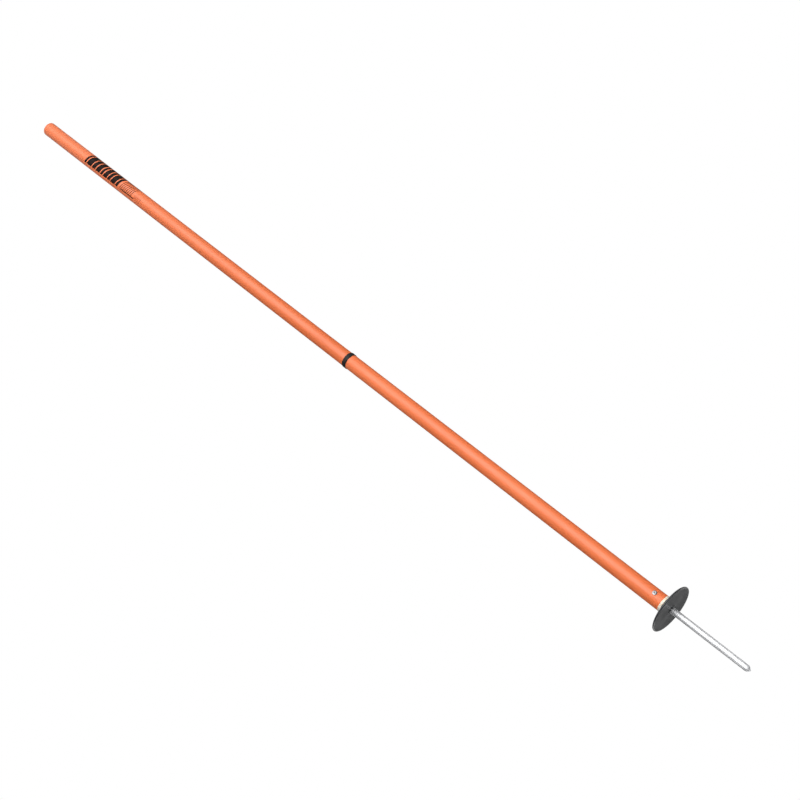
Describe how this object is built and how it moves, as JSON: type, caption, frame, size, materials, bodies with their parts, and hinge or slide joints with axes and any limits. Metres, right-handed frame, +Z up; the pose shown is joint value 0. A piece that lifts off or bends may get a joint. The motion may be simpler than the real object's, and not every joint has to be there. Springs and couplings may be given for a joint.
{
  "type": "driveway snow marker",
  "caption": "Tall orange sectional tube pole with a black joint collar, a dark ground disc and a pointed steel ground spike, pushed into soil to mark a driveway edge.",
  "frame": {"origin": "on the pole's axis at the ground line, where the ground disc's boss bears on the ground and the bare spike begins", "axes": "+Z up the pole's axis to the top cap, -Z down the spike, -Y to the side the base rivet faces"},
  "size_m": [0.075, 0.075, 1.6],
  "materials": {
    "orange_tube": "gloss",
    "orange_cap": "satin",
    "black_plastic": "satin",
    "natural_plastic": "satin",
    "dark_rubber": "matte",
    "spike_steel": "bright drawn",
    "rivet_aluminium": "satin",
    "mandrel_steel": "dull"
  },
  "bodies": {
    "lower_section": {"lower_tube": "orange_tube", "base_plug": "natural_plastic", "ground_spike": "spike_steel", "plug_rivet": "rivet_aluminium", "rivet_mandrel": "mandrel_steel"},
    "connector": {"joint_connector": "black_plastic"},
    "upper_section": {"upper_tube": "orange_tube", "top_cap": "orange_cap"},
    "disc": {"ground_disc": "dark_rubber"}
  },
  "joints": [
    {"name": "connector_swivel", "type": "hinge", "parent": "lower_section", "child": "connector", "pos_m": [0, 0, 0.651], "axis": [0, 0, 1], "continuous": true},
    {"name": "upper_pull_off", "type": "slide", "parent": "connector", "child": "upper_section", "axis": [0, 0, 1], "range_m": [0, 0.075]},
    {"name": "disc_slide", "type": "slide", "parent": "lower_section", "child": "disc", "axis": [0, 0, -1], "range_m": [0, 0.15]}
  ]
}
